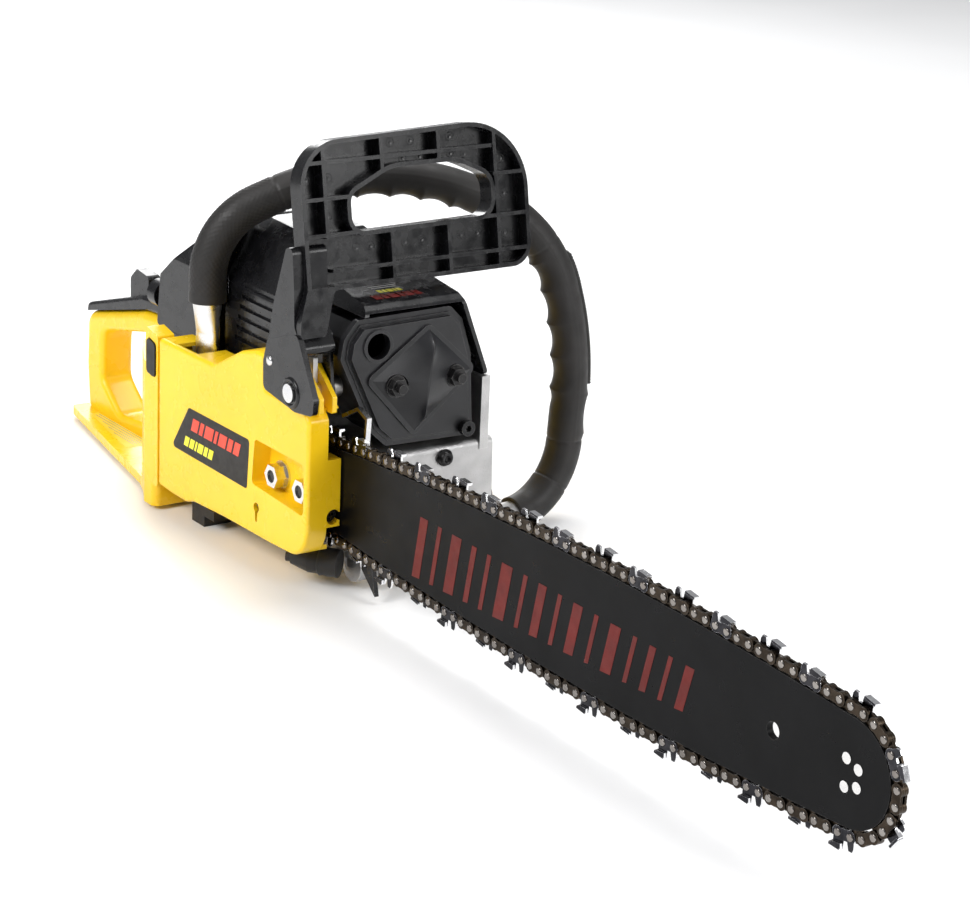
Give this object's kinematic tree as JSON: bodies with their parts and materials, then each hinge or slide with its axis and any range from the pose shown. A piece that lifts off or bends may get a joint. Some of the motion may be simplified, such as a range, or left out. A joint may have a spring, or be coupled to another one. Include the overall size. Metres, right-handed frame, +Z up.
{
  "type": "chainsaw",
  "caption": "Petrol chainsaw with guide bar and chain, yellow clutch and starter covers, wrap-round front handle, ribbed hand guard and rear handle with trigger.",
  "frame": {"origin": "on the plane the saw stands on, straight below the crankshaft axis, in the middle plane of the guide bar", "axes": "+X forward along the guide bar, +Y to the operator's left (starter side), +Z up"},
  "size_m": [0.8741, 0.247, 0.2778],
  "materials": {
    "black_bar": "satin",
    "chain_steel": "satin",
    "bright_steel": "satin",
    "cutter_chrome": "polished",
    "yellow_shell": "gloss",
    "black_screw": "satin",
    "dark_steel": "satin",
    "cast_aluminium": "satin",
    "black_rubber": "matte",
    "muffler_paint": "satin",
    "black_shell": "satin",
    "rope_fibre": "matte",
    "filter_felt": "matte",
    "red_plastic": "gloss",
    "white_plastic": "matte",
    "handle_tube": "satin"
  },
  "bodies": {
    "root": {"air_filter": "filter_felt", "air_filter_cover": "black_shell", "av_mounts": "black_rubber", "bar_nuts": "bright_steel", "bar_plate": "bright_steel", "bar_studs": "bright_steel", "brake_band": "dark_steel", "brake_link": "dark_steel", "brake_tab": "white_plastic", "bumper_spike": "black_screw", "carburettor": "cast_aluminium", "chain_rivets": "bright_steel", "clutch_cover": "yellow_shell", "crank_bearings": "bright_steel", "crankcase": "cast_aluminium", "cutters": "cutter_chrome", "cylinder": "cast_aluminium", "cylinder_cover": "black_shell", "drive_links": "chain_steel", "filter_base": "black_shell", "front_handle_grip": "black_rubber", "front_handle_tube": "handle_tube", "grip_cap": "black_shell", "guard_spring": "dark_steel", "guide_bar": "black_bar", "hinge_pins": "bright_steel", "ignition_coil": "dark_steel", "intake_boot": "black_rubber", "muffler_body": "muffler_paint", "muffler_deflector": "muffler_paint", "muffler_fasteners": "black_screw", "nose_rivets": "bright_steel", "rear_handle_tank": "yellow_shell", "recoil_spring": "dark_steel", "spark_plug": "bright_steel", "spark_plug_cap": "black_rubber", "starter_cover": "yellow_shell", "starter_rope": "rope_fibre", "tension_block": "dark_steel", "tie_straps": "chain_steel"},
    "guard": {"hand_guard": "black_shell"},
    "crank": {"crankshaft": "dark_steel", "flywheel": "cast_aluminium", "clutch_hub": "dark_steel"},
    "piston_set": {"piston": "cast_aluminium", "wrist_pin": "bright_steel", "connecting_rod": "dark_steel"},
    "drum": {"clutch_drum": "dark_steel"},
    "nose": {"nose_sprocket": "chain_steel"},
    "trigger": {"throttle_trigger": "black_shell"},
    "throttle": {"throttle_shaft": "dark_steel"},
    "lock": {"throttle_lock": "black_shell"},
    "choke": {"choke_knob": "black_shell"},
    "stop": {"stop_switch": "red_plastic"},
    "pull_handle": {"starter_handle": "black_shell"},
    "pulley": {"starter_pulley": "black_shell"},
    "fuel_lid": {"fuel_cap": "black_shell"},
    "oil_lid": {"oil_cap": "black_shell"},
    "filter_nut": {"filter_knob": "black_shell"},
    "tensioner": {"tension_screw": "black_screw"}
  },
  "joints": [
    {"name": "guard_hinge", "type": "hinge", "parent": "root", "child": "guard", "pos_m": [0.0875, -0.016, 0.1285], "axis": [0, 1, 0], "range_deg": [0, 20]},
    {"name": "crank_spin", "type": "hinge", "parent": "root", "child": "crank", "pos_m": [0, 0.04, 0.066], "axis": [0, 1, 0], "continuous": true},
    {"name": "piston_slide", "type": "slide", "parent": "root", "child": "piston_set", "axis": [0, 0, 1], "range_m": [-0.032, 0]},
    {"name": "drum_spin", "type": "hinge", "parent": "root", "child": "drum", "pos_m": [0, -0.012, 0.066], "axis": [0, 1, 0], "continuous": true},
    {"name": "nose_spin", "type": "hinge", "parent": "root", "child": "nose", "pos_m": [0.546, 0, 0.066], "axis": [0, 1, 0], "continuous": true},
    {"name": "trigger_hinge", "type": "hinge", "parent": "root", "child": "trigger", "pos_m": [-0.172, 0.04, 0.092], "axis": [0, 1, 0], "range_deg": [0, 14], "stiffness_Nm_per_rad": 0.4, "springref_deg": -8.59},
    {"name": "throttle_hinge", "type": "hinge", "parent": "root", "child": "throttle", "pos_m": [-0.074, 0.046, 0.122], "axis": [0, 1, 0], "range_deg": [0, 75]},
    {"name": "lock_hinge", "type": "hinge", "parent": "root", "child": "lock", "pos_m": [-0.231, 0.04, 0.097], "axis": [0, 1, 0], "range_deg": [0, 7], "stiffness_Nm_per_rad": 0.3, "springref_deg": -5.73},
    {"name": "choke_slide", "type": "slide", "parent": "root", "child": "choke", "axis": [-1, 0, 0], "range_m": [0, 0.012]},
    {"name": "stop_slide", "type": "slide", "parent": "root", "child": "stop", "axis": [0, 1, 0], "range_m": [0, 0.008]},
    {"name": "starter_pull", "type": "slide", "parent": "root", "child": "pull_handle", "axis": [0, 0, 1], "range_m": [0, 0.6], "stiffness_N_per_m": 8, "springref_m": -0.8},
    {"name": "pulley_spin", "type": "hinge", "parent": "root", "child": "pulley", "pos_m": [0, 0.113, 0.066], "axis": [0, 1, 0], "range_deg": [0, 1440]},
    {"name": "fuel_cap_turn", "type": "hinge", "parent": "root", "child": "fuel_lid", "pos_m": [-0.12, 0.112, 0.06], "axis": [0, 1, 0], "range_deg": [0, 540]},
    {"name": "oil_cap_turn", "type": "hinge", "parent": "root", "child": "oil_lid", "pos_m": [0.08, 0.104, 0.042], "axis": [0, 1, 0], "range_deg": [0, 540]},
    {"name": "filter_nut_turn", "type": "hinge", "parent": "root", "child": "filter_nut", "pos_m": [-0.092, 0.06, 0.185], "axis": [0, 0, 1], "continuous": true},
    {"name": "tension_turn", "type": "hinge", "parent": "root", "child": "tensioner", "pos_m": [0.09, -0.0072, 0.052], "axis": [1, 0, 0], "continuous": true}
  ],
  "couplings": [
    {"joint": "throttle_hinge", "follows": "trigger_hinge", "ratio": 5},
    {"joint": "pulley_spin", "follows": "starter_pull", "rad_per_m": 41.667},
    {"joint": "nose_spin", "follows": "drum_spin", "ratio": 0.58333}
  ]
}
